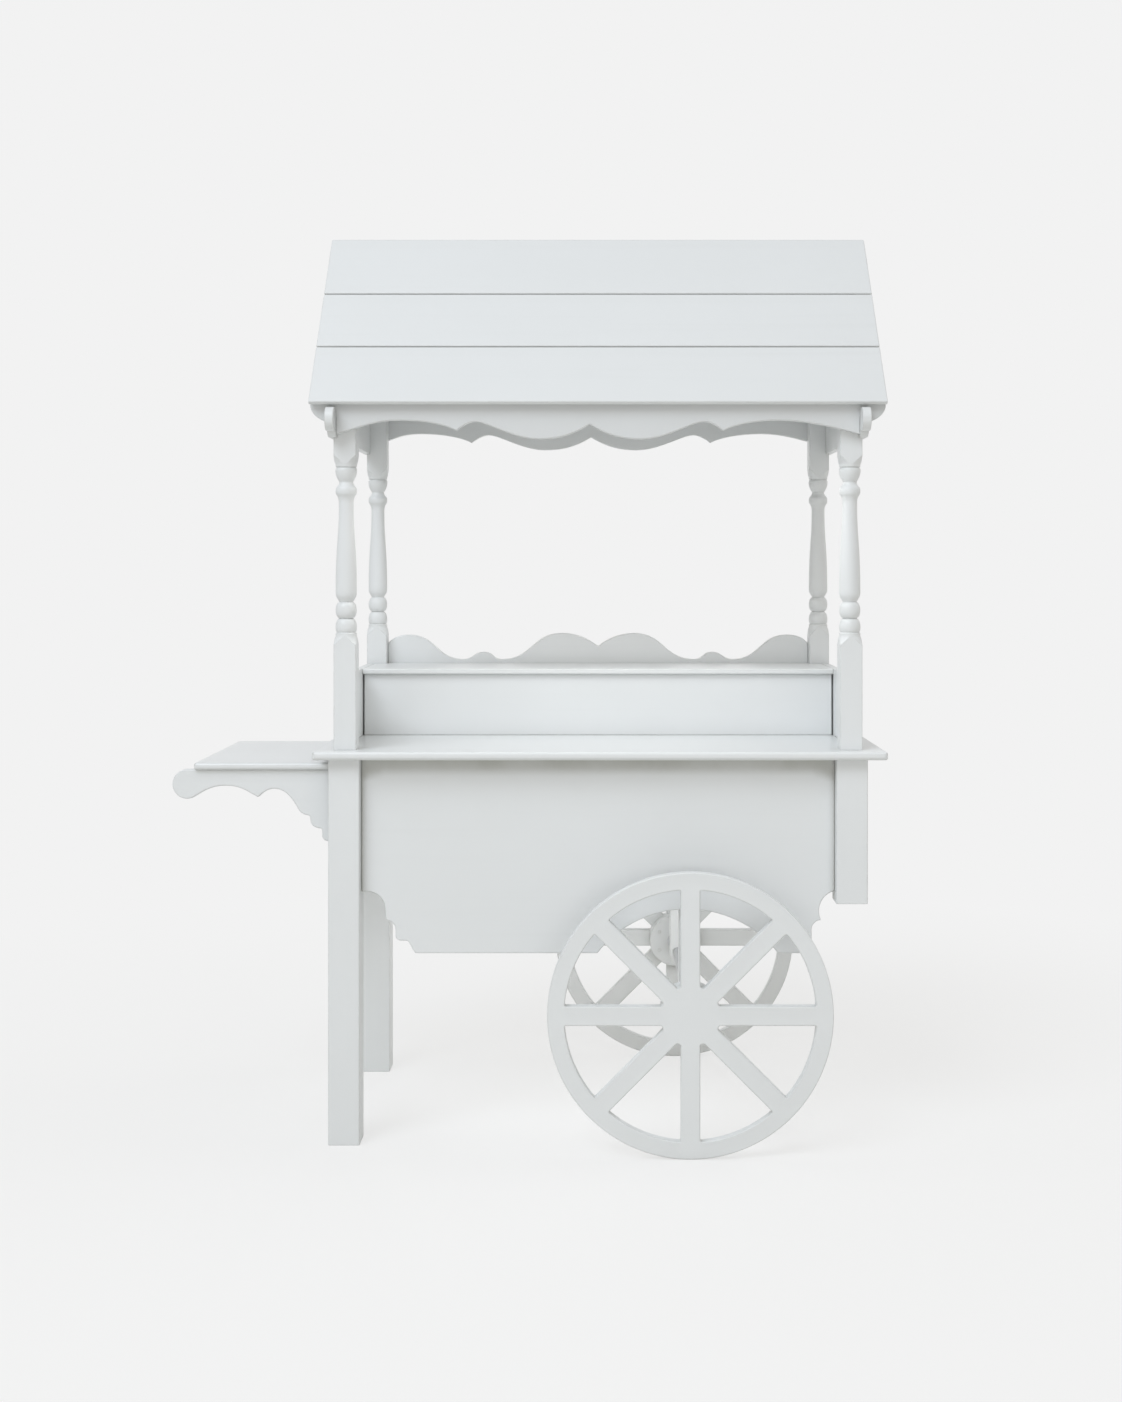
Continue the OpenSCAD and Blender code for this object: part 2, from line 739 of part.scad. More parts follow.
module lock_nuts() {
    far = -pocket_floor_y - end_play - washer_t;
    color(steel) for (side = [0, 1]) mirror([0, side, 0]) difference() {
        translate([wheel_x, far - nut_h, axle_z]) rotate([-90, 0, 0])
            cylinder(nut_h, axle_r + 8, axle_r + 8, $fn = 6);
        round_bar(far - nut_h - 1, far + 1, axle_r + seat_clear);
    }
}

// One board with a rim, a hub and spokes right across
module wheel() {
    color(paint) board_xz(-wheel_out_y, -wheel_in_y) translate([wheel_x, axle_z]) {
        difference() {
            circle(wheel_r, $fn = round_fn);
            circle(wheel_r - rim_w, $fn = round_fn);
        }
        circle(hub_r, $fn = round_fn);
        for (i = [0 : spokes / 2 - 1]) rotate(i * 360 / spokes)
            square([2 * wheel_r - rim_w, spoke_w], center = true);
    }
}

// The block glued to the wheel's inner face: it runs on the axle and hides the lock nut.
module hub_block() {
    color(paint) difference() {
        round_bar(-wheel_in_y, -hub_in_y, hub_block_r);
        round_bar(-wheel_in_y - 1, -hub_in_y + 1, axle_r + axle_clear);
        round_bar(-wheel_in_y - 1, -pocket_floor_y, pocket_r);
    }
}

placed() at_left() leg(0);  // leg_front_left
placed() at_left() at_rear() leg(0);  // leg_rear_left
placed() leg(short_leg_z);  // leg_front_right
placed() at_rear() leg(short_leg_z);  // leg_rear_right
placed() long_panel();  // front_panel
placed() at_rear() long_panel();  // rear_panel
placed() at_left() end_panel();  // left_end_panel
placed() end_panel();  // right_end_panel
placed() floor_board();
placed() counter_top();
placed() at_left() post();  // post_front_left
placed() post();  // post_front_right
placed() at_left() at_rear() post();  // post_rear_left
placed() at_rear() post();  // post_rear_right
placed() at_left() side_board();  // left_side_board
placed() side_board();  // right_side_board
placed() tier_front();
placed() tier_top();
placed() back_board();
placed() valance(0, 1);  // front_valance
placed() at_rear() valance(rear_valance_up, rear_valance_spread);  // rear_valance
placed() at_left() gable();  // left_gable
placed() gable();  // right_gable
placed() roof_board(0, roof_board_w);  // roof_front_low
placed() roof_board(roof_board_w + roof_gap, 2 * roof_board_w + roof_gap);  // roof_front_mid
placed() roof_top_board();  // roof_front_high
placed() at_rear() roof_board(0, roof_board_w);  // roof_rear_low
placed() at_rear() roof_board(roof_board_w + roof_gap, 2 * roof_board_w + roof_gap);  // roof_rear_mid
placed() at_rear() roof_top_board();  // roof_rear_high
placed() roof_battens();
placed() ridge_beam();
placed() side_shelf();
placed() bracket();  // bracket_front
placed() at_rear() bracket();  // bracket_rear
placed() hanger();  // hanger_front
placed() at_rear() hanger();  // hanger_rear
placed() axle();
placed() axle_sleeves();
placed() axle_washers();
placed() lock_nuts();
placed() wheel();  // front_wheel
placed() hub_block();  // front_hub_block
placed() at_rear() wheel();  // rear_wheel
placed() at_rear() hub_block();  // rear_hub_block
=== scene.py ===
import math

import bpy
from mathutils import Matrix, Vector


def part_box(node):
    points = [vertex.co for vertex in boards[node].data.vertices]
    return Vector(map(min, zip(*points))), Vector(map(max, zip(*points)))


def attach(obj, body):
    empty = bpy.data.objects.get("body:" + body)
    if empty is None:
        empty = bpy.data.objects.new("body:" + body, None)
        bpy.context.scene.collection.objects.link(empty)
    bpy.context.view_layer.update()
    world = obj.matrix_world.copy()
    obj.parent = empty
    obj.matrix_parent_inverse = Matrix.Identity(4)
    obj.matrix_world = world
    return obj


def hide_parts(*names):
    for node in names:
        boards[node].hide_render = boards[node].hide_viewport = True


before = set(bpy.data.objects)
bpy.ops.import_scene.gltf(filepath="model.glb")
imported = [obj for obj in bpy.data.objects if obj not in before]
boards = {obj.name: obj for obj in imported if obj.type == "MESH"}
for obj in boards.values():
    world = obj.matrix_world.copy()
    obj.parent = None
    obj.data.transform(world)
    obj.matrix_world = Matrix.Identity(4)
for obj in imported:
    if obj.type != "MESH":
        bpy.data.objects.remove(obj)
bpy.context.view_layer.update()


# Places that the frame gives

def middle(node):
    low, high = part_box(node)
    return (low + high) / 2


leg_face_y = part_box("leg_front_left")[0].y
body_x = (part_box("leg_front_left")[0].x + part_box("leg_front_right")[1].x) / 2
axle_place = middle("axle")


# Shader building blocks

def add_node(tree, kind, feeds=None, **settings):
    """Adds a node. Each feed names one of its inputs, with a constant or with the output to link to it."""
    made = tree.nodes.new(kind)
    for key, value in settings.items():
        setattr(made, key, value)
    for label, value in (feeds or {}).items():
        if isinstance(value, bpy.types.NodeSocket):
            tree.links.new(value, made.inputs[label])
        else:
            made.inputs[label].default_value = value
    return made


def start_group(name, inputs, outputs):
    group = bpy.data.node_groups.new(name, "ShaderNodeTree")
    for kind, label, value in inputs:
        socket = group.interface.new_socket(name=label, in_out="INPUT", socket_type="NodeSocket" + kind)
        if value is not None:
            socket.default_value = value
    for kind, label in outputs:
        group.interface.new_socket(name=label, in_out="OUTPUT", socket_type="NodeSocket" + kind)
    return group, group.nodes.new("NodeGroupInput").outputs, group.nodes.new("NodeGroupOutput").inputs


def vector_maths(tree, operation, a, b):
    return add_node(tree, "ShaderNodeVectorMath", {0: a, 1: b}, operation=operation)


def scaled(tree, vector, scale):
    return vector_maths(tree, "MULTIPLY", vector, scale).outputs["Vector"]


def noise(tree, vector, scale, detail=2.0, roughness=0.5, distortion=0.0):
    feeds = {"Vector": vector, "Scale": scale, "Detail": detail, "Roughness": roughness, "Distortion": distortion}
    return add_node(tree, "ShaderNodeTexNoise", feeds).outputs["Fac"]


def ranged(tree, value, low, high, to_low=0.0, to_high=1.0):
    feeds = {"Value": value, "From Min": low, "From Max": high, "To Min": to_low, "To Max": to_high}
    return add_node(tree, "ShaderNodeMapRange", feeds).outputs["Result"]


def maths(tree, operation, a, b, clamp=False):
    return add_node(tree, "ShaderNodeMath", {0: a, 1: b}, operation=operation, use_clamp=clamp).outputs["Value"]


def blended(tree, share, a, b):
    return add_node(tree, "ShaderNodeMix", {"Factor": share, 6: a, 7: b}, data_type="RGBA").outputs[2]


def make_arris_shade_and_rub():
    """How near a surface is to an edge of its own board: 1 on the arris, 0 on the flat. The paint film puts
    painted shade and smoother paint there.
    """
    group, given, result = start_group(
        "arris_shade_and_rub",
        [("Vector", "Coordinates", None), ("Float", "Width", 0.004)],
        [("Float", "Edge")],
    )
    rounded = add_node(group, "ShaderNodeBevel", {"Radius": given["Width"]}, samples=4)
    plain = add_node(group, "ShaderNodeNewGeometry")
    turn = vector_maths(group, "DOT_PRODUCT", rounded.outputs["Normal"], plain.outputs["Normal"])
    near = ranged(group, turn.outputs["Value"], 0.995, 0.88)
    spots = noise(group, given["Coordinates"], scale=38.0, detail=3.0, roughness=0.6)
    patchy = ranged(group, spots, 0.35, 0.65, to_low=0.35)
    group.links.new(maths(group, "MULTIPLY", near, patchy, clamp=True), result["Edge"])
    return group


def make_wood_grain():
    """Grain lines and pores of a board that runs along the first coordinate."""
    group, given, result = start_group(
        "wood_grain",
        [("Vector", "Coordinates", None)],
        [("Float", "Lines"), ("Float", "Pores")],
    )
    drawn_out = scaled(group, given["Coordinates"], (1.4, 42.0, 42.0))
    lines = noise(group, drawn_out, scale=1.0, detail=5.0, roughness=0.62, distortion=0.8)
    group.links.new(lines, result["Lines"])
    fine = scaled(group, given["Coordinates"], (9.0, 420.0, 420.0))
    group.links.new(noise(group, fine, scale=1.0, roughness=0.6), result["Pores"])
    return group


def make_painted_corner_shade():
    """Painted shade: how deep a surface lies in a corner or under an overhang, 1 in a joint, 0 in the open.

    It looks up a little from each face, so that an overhang above counts for more than a ledge below.
    """
    group, given, result = start_group(
        "painted_corner_shade",
        [("Vector", "Coordinates", None), ("Float", "Reach", 0.03), ("Float", "Open Share", 0.97)],
        [("Float", "Painted Shade")],
    )
    upward_lean, joint_share = (0, 0, 0.7), 0.45
    plain = add_node(group, "ShaderNodeNewGeometry")
    raised = vector_maths(group, "ADD", plain.outputs["Normal"], upward_lean)
    upward = add_node(group, "ShaderNodeVectorMath", {0: raised.outputs["Vector"]}, operation="NORMALIZE")
    shelter = add_node(group, "ShaderNodeAmbientOcclusion",
                       {"Normal": upward.outputs["Vector"], "Distance": given["Reach"]}, samples=8)
    deep = ranged(group, shelter.outputs["AO"], given["Open Share"], joint_share)
    clouds = noise(group, given["Coordinates"], scale=11.0, detail=3.0, roughness=0.55)
    patchy = ranged(group, clouds, 0.3, 0.7, to_low=0.75)
    group.links.new(maths(group, "MULTIPLY", deep, patchy, clamp=True), result["Painted Shade"])
    return group


def make_paint_film(arris_shade_and_rub, wood_grain, painted_corner_shade):
    """Satin paint over a board: clouds of more and less paint, grain under it, painted shade on the arrises and
    in corners and under overhangs, smoother arrises, roller peel.
    """
    group, given, result = start_group(
        "paint_film",
        [("Vector", "Coordinates", None),
         ("Color", "Paint", (0.75, 0.76, 0.77, 1)),
         # Darker paint for the grain lines and clouds, also the colour of the painted shade on the arrises
         ("Color", "Thin Paint And Arris Shade", (0.7, 0.7, 0.69, 1)),
         # The colour of the painted shade in corners and under overhangs
         ("Color", "Painted Shade", (0.41, 0.412, 0.38, 1)),
         ("Float", "Grain", 0.5),
         ("Float", "Edge Width", 0.004),
         ("Float", "Painted Shade Strength", 0.38),
         ("Float", "Painted Shade Reach", 0.03),
         ("Float", "Open Share", 0.97),
         ("Float", "Sheen Roughness", 0.4)],
        [("Color", "Colour"), ("Float", "Roughness"), ("Float", "Height")],
    )
    place = given["Coordinates"]
    cloud = noise(group, place, scale=3.5, detail=3.0, roughness=0.55)
    peel = noise(group, place, scale=620.0, detail=1.0)
    wood = add_node(group, "ShaderNodeGroup", {"Coordinates": place}, node_tree=wood_grain)
    grain, pores = wood.outputs["Lines"], wood.outputs["Pores"]
    edge = add_node(group, "ShaderNodeGroup",
                    {"Coordinates": place, "Width": given["Edge Width"]}, node_tree=arris_shade_and_rub)
    shaded_rubbed_arris = edge.outputs["Edge"]
    # Painted shade in the corners and under overhangs
    painted_shade = add_node(group, "ShaderNodeGroup",
                    {"Coordinates": place, "Reach": given["Painted Shade Reach"], "Open Share": given["Open Share"]},
                    node_tree=painted_corner_shade)

    # Colour: paint, thinner along the grain, with painted shade on the arrises, and more painted shade over it in
    # the corners and under overhangs
    lines = maths(group, "MULTIPLY", ranged(group, grain, 0.55, 0.75), given["Grain"])
    thin_lines = maths(group, "MULTIPLY", lines, 0.08)
    thin_and_arris_shade = maths(group, "ADD", thin_lines, maths(group, "MULTIPLY", shaded_rubbed_arris, 0.75), clamp=True)
    clouded = maths(group, "ADD", thin_and_arris_shade, ranged(group, cloud, 0.35, 0.7, to_high=0.05), clamp=True)
    colour = blended(group, clouded, given["Paint"], given["Thin Paint And Arris Shade"])
    shade_share = maths(group, "MULTIPLY", painted_shade.outputs["Painted Shade"], given["Painted Shade Strength"])
    group.links.new(blended(group, shade_share, colour, given["Painted Shade"]), result["Colour"])

    # Roughness: a little from the clouds and the pores, and smoother where hands rub
    rough = maths(group, "ADD", given["Sheen Roughness"], ranged(group, cloud, 0.3, 0.7, -0.012, 0.015))
    open_pores = maths(group, "MULTIPLY", ranged(group, pores, 0.3, 0.7, -0.04, 0.04), given["Grain"])
    rough = maths(group, "ADD", rough, open_pores)
    rough = maths(group, "SUBTRACT", rough, maths(group, "MULTIPLY", shaded_rubbed_arris, 0.08), clamp=True)
    group.links.new(rough, result["Roughness"])

    # Height: half from the grain, and a quarter each from the pores and the roller's peel
    relief = maths(group, "MULTIPLY", ranged(group, grain, 0.3, 0.75), given["Grain"])
    relief = maths(group, "ADD", maths(group, "MULTIPLY", relief, 0.5), maths(group, "MULTIPLY", pores, 0.25))
    relief = maths(group, "ADD", relief, maths(group, "MULTIPLY", peel, 0.25))
    group.links.new(relief, result["Height"])
    return group


paint_film = make_paint_film(make_arris_shade_and_rub(), make_wood_grain(), make_painted_corner_shade())


# Materials

along_turns = {"x": (0, 0, 0), "y": (0, 0, -math.pi / 2), "z": (0, math.pi / 2, 0)}

white = (0.74, 0.757, 0.764)
# Darker paint for the grain lines and clouds, and the colour of the painted shade on the arrises
white_thin_and_arris_shade = (0.505, 0.518, 0.502)
# The white darkened as painted shade, for the valances that stand under the eave's overhang
white_in_eave_shade = tuple(0.91 * part for part in white)
inner_white = (0.7, 0.72, 0.72)
# The same for the undercoated pieces: grain lines and clouds, and painted shade on the arrises
inner_thin_and_arris_shade = (0.5, 0.505, 0.49)


def blank_material(name):
    material = bpy.data.materials.new(name)
    material.use_nodes = True
    material.node_tree.nodes.clear()
    return material, material.node_tree


def start_material(name):
    material, tree = blank_material(name)
    surface = add_node(tree, "ShaderNodeBsdfPrincipled")
    add_node(tree, "ShaderNodeOutputMaterial", {"Surface": surface.outputs["BSDF"]})
    return material, tree, surface


def add_bump(tree, surface, height, distance, strength=0.5):
    bump = add_node(tree, "ShaderNodeBump", {"Strength": strength, "Distance": distance, "Height": height})
    tree.links.new(bump.outputs["Normal"], surface.inputs["Normal"])


def own_place(tree, offset, turn=(0, 0, 0)):
    """Object coordinates, turned along the grain and moved so that no two boards match."""
    place = add_node(tree, "ShaderNodeTexCoord")
    feeds = {"Vector": place.outputs["Object"], "Location": offset, "Rotation": turn}
    return add_node(tree, "ShaderNodeMapping", feeds, vector_type="POINT").outputs["Vector"]


def painted_wood(name, along, offset, paint=white, thin_and_arris_shade=white_thin_and_arris_shade, grain=0.5, gloss=0.4, relief=0.00015,
                 edge=0.004, painted_shade=0.38, reach=0.03, open_share=0.97):
    """A board's paint: along is the way its grain runs, offset makes its pattern its own."""
    material, tree, surface = start_material(name)
    film = add_node(tree, "ShaderNodeGroup", {
        "Coordinates": own_place(tree, offset, along_turns[along]),
        "Paint": (*paint, 1),
        "Thin Paint And Arris Shade": (*thin_and_arris_shade, 1),
        "Grain": grain,
        "Sheen Roughness": gloss,
        "Edge Width": edge,
        "Painted Shade Strength": painted_shade,
        "Painted Shade Reach": reach,
        "Open Share": open_share,
    }, node_tree=paint_film)
    tree.links.new(film.outputs["Colour"], surface.inputs["Base Color"])
    tree.links.new(film.outputs["Roughness"], surface.inputs["Roughness"])
    add_bump(tree, surface, film.outputs["Height"], relief)
    return material


def zinc_steel(name, offset):
    """Zinc plate over turned steel: pale clouds and fine lathe lines across the axle."""
    material, tree, surface = start_material(name)
    dull_zinc, bright_zinc = (0.5, 0.51, 0.53, 1), (0.66, 0.67, 0.68, 1)
    place = own_place(tree, offset)
    spangle = noise(tree, place, scale=90.0, detail=4.0, roughness=0.6)
    turning = noise(tree, scaled(tree, place, (60.0, 900.0, 60.0)), scale=1.0)
    plate = blended(tree, ranged(tree, spangle, 0.35, 0.65), dull_zinc, bright_zinc)
    tree.links.new(plate, surface.inputs["Base Color"])
    tree.links.new(ranged(tree, spangle, 0.3, 0.7, 0.27, 0.44), surface.inputs["Roughness"])
    surface.inputs["Metallic"].default_value = 1.0
    add_bump(tree, surface, turning, distance=0.0001, strength=0.4)
    return material


# Modelling steps

# Corners of a CAD mesh nearer than this are one corner, and faces that meet flatter than this are one face
one_corner = 0.00002
one_face = math.radians(0.4)


def only(*pieces):
    """Leaves just these pieces selected, the first of them active."""
    bpy.ops.object.select_all(action="DESELECT")
    for piece in pieces:
        piece.select_set(True)
    bpy.context.view_layer.objects.active = pieces[0]


def settle_place():
    bpy.ops.object.transform_apply(location=True, rotation=True, scale=True)


def select_faces(piece, wanted):
    """Selects, in edit mode, the faces that a test of their middle and normal picks."""
    bpy.ops.mesh.select_mode(type="FACE")
    bpy.ops.mesh.select_all(action="DESELECT")
    bpy.ops.object.mode_set(mode="OBJECT")
    for face in piece.data.polygons:
        face.select = wanted(face.center, face.normal)
    bpy.ops.object.mode_set(mode="EDIT")


def add_modifier(piece, name, kind, **settings):
    modifier = piece.modifiers.new(name, kind)
    for key, value in settings.items():
        setattr(modifier, key, value)


def apply_modifiers(piece):
    only(piece)
    for modifier in list(piece.modifiers):
        bpy.ops.object.modifier_apply(modifier=modifier.name)


def round_arrises(board, width, segments=3):
    """Rounds the sharp arrises of a board as sandpaper does."""
    add_modifier(board, "arris", "BEVEL", width=width, segments=segments, limit_method="ANGLE",
                 angle_limit=math.radians(36), use_clamp_overlap=True, miter_outer="MITER_ARC")
    add_modifier(board, "even_shading", "WEIGHTED_NORMAL", weight=80, keep_sharp=False)


def ease_edges(board, width, segments=3):
    """Joins a board's loose triangles into flat faces and rounds its arrises."""
    add_modifier(board, "joined", "WELD", merge_threshold=one_corner)
    add_modifier(board, "flat_faces", "DECIMATE", decimate_type="DISSOLVE", angle_limit=one_face)
    round_arrises(board, width, segments)


def give_material(piece, material):
    for slot in piece.material_slots:
        slot.material = material
    if not piece.material_slots:
        piece.data.materials.append(material)


# The boards: rounded arrises and a coat of paint each

# Each board with the way its grain runs and the radius of its arrises
finishes = {
    "leg_front_left": ("z", 0.0012), "leg_rear_left": ("z", 0.0012),
    "leg_front_right": ("z", 0.0012), "leg_rear_right": ("z", 0.0012),
    "front_panel": ("x", 0.0025), "rear_panel": ("x", 0.0025),
    "left_end_panel": ("y", 0.002), "right_end_panel": ("y", 0.002),
    "counter_top": ("x", 0.0008),
    "post_front_left": ("z", 0.0007), "post_front_right": ("z", 0.0007),
    "post_rear_left": ("z", 0.0007), "post_rear_right": ("z", 0.0007),
    "left_side_board": ("y", 0.002), "right_side_board": ("y", 0.002),
    "tier_front": ("x", 0.002), "tier_top": ("x", 0.001), "back_board": ("x", 0.003),
    "front_valance": ("x", 0.003), "rear_valance": ("x", 0.003),
    "left_gable": ("y", 0.003), "right_gable": ("y", 0.003),
    "roof_front_low": ("x", 0.0025), "roof_front_mid": ("x", 0.0025), "roof_front_high": ("x", 0.0025),
    "roof_rear_low": ("x", 0.0025), "roof_rear_mid": ("x", 0.0025), "roof_rear_high": ("x", 0.0025),
    "side_shelf": ("y", 0.0008), "bracket_front": ("x", 0.003), "bracket_rear": ("x", 0.003),
    "front_hub_block": ("x", 0.003), "rear_hub_block": ("x", 0.003),
    "hanger_front": ("z", 0.003), "hanger_rear": ("z", 0.003),
}

# Tops rubbed down smoother than the rest, with a wider band of painted shade on their arrises, panels with deep
# painted shade along their top edge under the counter's overhang, pieces that stand in the open with little
# painted shade, boards with no painted shade in their corners, and valances painted darker all over as the shade
# under the eave
smooth_top = {"grain": 0.1, "gloss": 0.3, "relief": 0.00002, "edge": 0.006}
sheltered = {"painted_shade": 1.0, "reach": 0.05, "open_share": 0.68}
open_air = {"painted_shade": 0.15}
no_painted_shade = {"painted_shade": 0.0}
under_eave = {"paint": white_in_eave_shade, "painted_shade": 0.05}
coats = {
    "counter_top": smooth_top, "side_shelf": smooth_top, "tier_top": smooth_top,
    "front_panel": sheltered, "rear_panel": sheltered,
    "left_end_panel": sheltered, "right_end_panel": sheltered,
    "front_valance": under_eave, "rear_valance": under_eave,
    "tier_front": no_painted_shade, "back_board": no_painted_shade,
    "leg_front_left": open_air, "leg_rear_left": open_air,
    "leg_front_right": open_air, "leg_rear_right": open_air,
    "post_front_left": open_air, "post_front_right": open_air,
    "post_rear_left": open_air, "post_rear_right": open_air,
    "bracket_front": open_air, "bracket_rear": open_air,
}
inner_finishes = {
    "floor_board": ("x", 0.0015), "roof_battens": ("x", 0.0015), "ridge_beam": ("x", 0.0015),
}
steel_finishes = {"axle": 0.0012, "axle_sleeves": 0.0006, "axle_washers": 0.0004, "lock_nuts": 0.0008}


def own_offset(number, step):
    """A step along each axis for each board before this one, so that no two share a pattern."""
    return tuple(number * part for part in step)


def finish_boards():
    for number, (name, (along, width)) in enumerate(finishes.items()):
        offset = own_offset(number, (0.37, 1.13, 0.71))
        give_material(boards[name], painted_wood("paint_" + name, along, offset, **coats.get(name, {})))
        ease_edges(boards[name], width)
    for number, (name, (along, width)) in enumerate(inner_finishes.items()):
        offset = own_offset(number, (0.53, 0.91, 1.27))
        coat = painted_wood("undercoat_" + name, along, offset, inner_white, inner_thin_and_arris_shade, grain=1.0, gloss=0.55)
        give_material(boards[name], coat)
        ease_edges(boards[name], width)
    for number, (name, width) in enumerate(steel_finishes.items()):
        give_material(boards[name], zinc_steel("zinc_" + name, own_offset(number, (0.3, 0.2, 0.7))))
        ease_edges(boards[name], width, segments=2)


# The wheels: copies whose flat faces are cut between the spokes before their arrises are rounded

def merged_copy(node, name):
    """A copy of a CAD board with its loose triangles joined, in edit mode."""
    only(boards[node])
    bpy.ops.object.duplicate()
    piece = bpy.context.object
    piece.name = name
    piece.parent = None
    for mark in [key for key in piece.keys() if key.startswith("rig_")]:
        del piece[mark]
    only(piece)
    bpy.ops.object.mode_set(mode="EDIT")
    bpy.ops.mesh.select_all(action="SELECT")
    bpy.ops.mesh.remove_doubles(threshold=one_corner)
    return piece


def make_wheel(node, body, offset):
    centre = middle(node)
    wheel = merged_copy(node, node + "_sawn")
    spokes = 8
    for cut in range(spokes // 2):
        angle = math.radians(360 / spokes * (cut + 0.5))
        bpy.ops.mesh.select_all(action="SELECT")
        bpy.ops.mesh.bisect(plane_co=centre, plane_no=(-math.sin(angle), 0, math.cos(angle)))
        bpy.ops.mesh.mark_seam()
    bpy.ops.mesh.select_all(action="SELECT")
    bpy.ops.mesh.dissolve_limited(angle_limit=one_face, delimit={"SEAM"})
    bpy.ops.object.mode_set(mode="OBJECT")
    round_arrises(wheel, 0.003)
    apply_modifiers(wheel)
    give_material(wheel, painted_wood("paint_" + wheel.name, "x", offset))
    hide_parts(node)
    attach(wheel, body)


# Small fastenings

def start_disc(name, sides, radius, depth, middle_z):
    """A short blank about the z axis, in edit mode with its top face selected."""
    bpy.ops.object.select_all(action="DESELECT")
    bpy.ops.mesh.primitive_cylinder_add(vertices=sides, radius=radius, depth=depth, location=(0, 0, middle_z))
    blank = bpy.context.object
    blank.name = name
    settle_place()
    bpy.ops.object.mode_set(mode="EDIT")
    select_faces(blank, lambda centre, normal: normal.z > 0.9)
    return blank


def turned_copies(pattern, name, spots):
    """Copies of a pattern that faces up, each set down at a place with a turn, joined into one piece."""
    copies = []
    for place, turn in spots:
        only(pattern)
        bpy.ops.object.duplicate()
        made = bpy.context.object
        made.location = place
        made.rotation_euler = turn
        settle_place()
        copies.append(made)
    only(*copies)
    bpy.ops.object.join()
    joined = bpy.context.object
    joined.name = name
    joined.data.name = name
    return joined


def remove_pattern(pattern):
    only(pattern)
    bpy.ops.object.delete()


def make_cross_screw():
    """A countersunk wood screw's head, 9 mm across and 0.9 mm proud, with a cross recess."""
    head = start_disc("cross_screw_pattern", 24, 0.0045, 0.002, -0.0004)
    bpy.ops.mesh.inset(thickness=0.0007, depth=0.0003)
    bpy.ops.object.mode_set(mode="OBJECT")
    bpy.ops.object.select_all(action="DESELECT")
    bpy.ops.mesh.primitive_cube_add(size=0.0012, location=(0, 0, 0.0009))
    cross = bpy.context.object
    settle_place()
    bpy.ops.object.mode_set(mode="EDIT")
    for side in (Vector((1, 0, 0)), Vector((-1, 0, 0)), Vector((0, 1, 0)), Vector((0, -1, 0))):
        select_faces(cross, lambda centre, normal: normal.dot(side) > 0.9 and abs(centre.dot(side)) < 0.0007)
        bpy.ops.mesh.extrude_region_move(TRANSFORM_OT_translate={"value": side * 0.0017})
    bpy.ops.object.mode_set(mode="OBJECT")
    add_modifier(head, "recess", "BOOLEAN", object=cross, operation="DIFFERENCE", solver="EXACT")
    add_modifier(head, "arris", "BEVEL", width=0.00015, segments=1, limit_method="ANGLE")
    apply_modifiers(head)
    remove_pattern(cross)
    return head


def make_coach_screw():
    """A hexagon head, 10 mm across the flats, with its corners turned off, on a 16 mm washer."""
    washer = start_disc("coach_screw_pattern", 32, 0.008, 0.0014, 0.0007)
    bpy.ops.mesh.inset(thickness=0.0006, depth=0.0002)
    bpy.ops.object.mode_set(mode="OBJECT")
    head = start_disc("coach_screw_head", 6, 0.0058, 0.004, 0.0036)
    bpy.ops.mesh.inset(thickness=0.0007, depth=0.0004)
    bpy.ops.mesh.inset(thickness=0.0012, depth=0.0)
    bpy.ops.mesh.inset(thickness=0.0003, depth=-0.0003)
    bpy.ops.object.mode_set(mode="OBJECT")
    only(washer, head)
    bpy.ops.object.join()
    add_modifier(washer, "arris", "BEVEL", width=0.0002, segments=2, limit_method="ANGLE")
    apply_modifiers(washer)
    return washer


def make_plug():
    """A wooden plug over a screw, 10 mm across, sanded to a low crown."""
    plug = start_disc("plug_pattern", 28, 0.005, 0.0012, -0.0004)
    bpy.ops.mesh.inset(thickness=0.0004, depth=0.00015)
    bpy.ops.mesh.inset(thickness=0.0012, depth=0.00008)
    bpy.ops.object.mode_set(mode="OBJECT")
    bpy.ops.object.shade_smooth_by_angle(angle=math.radians(50))
    return plug


# The turn that makes a pattern face away from each side of the cart
face_turns = {
    "left": (0, -math.pi / 2, 0), "right": (0, math.pi / 2, 0),
    "front": (math.pi / 2, 0, 0), "back": (-math.pi / 2, 0, 0),
}


def make_hub_screws(pattern):
    """Six screws hold each hub block to its wheel from behind."""
    screw_count, circle_radius = 6, 0.044
    for body, face in (("front_wheel", "back"), ("rear_wheel", "front")):
        low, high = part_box(body.split("_")[0] + "_hub_block")
        y = high.y if face == "back" else low.y
        spots = []
        for number in range(screw_count):
            angle = math.radians(360 / screw_count * (number + 0.5))
            across, up = circle_radius * math.cos(angle), circle_radius * math.sin(angle)
            place = (axle_place.x + across, y, axle_place.z + up)
            spots.append((place, (face_turns[face][0], 0.7 * number, 0)))
        screws = turned_copies(pattern, body + "_hub_screws", spots)
        give_material(screws, painted_wood("paint_" + screws.name, "x", (1.7, 0.4, 0.9), grain=0.0))
        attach(screws, body)


def make_hanger_screws(pattern):
    """Two coach screws hold each axle hanger to its panel above the arch."""
    arch_radius, arch_centre_z = 0.242, 0.2466
    arch_top = arch_centre_z + arch_radius
    for name, face in (("hanger_front", "back"), ("hanger_rear", "front")):
        low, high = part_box(name)
        y = high.y if face == "back" else low.y
        spots = [((middle(name).x, y, arch_top + up), (face_turns[face][0], turn, 0))
                 for up, turn in ((0.011, 0.3), (0.031, 1.1))]
        screws = turned_copies(pattern, name + "_screws", spots)
        give_material(screws, painted_wood("paint_" + screws.name, "z", (2.1, 1.4, 0.2), grain=0.0))
        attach(screws, "cart")


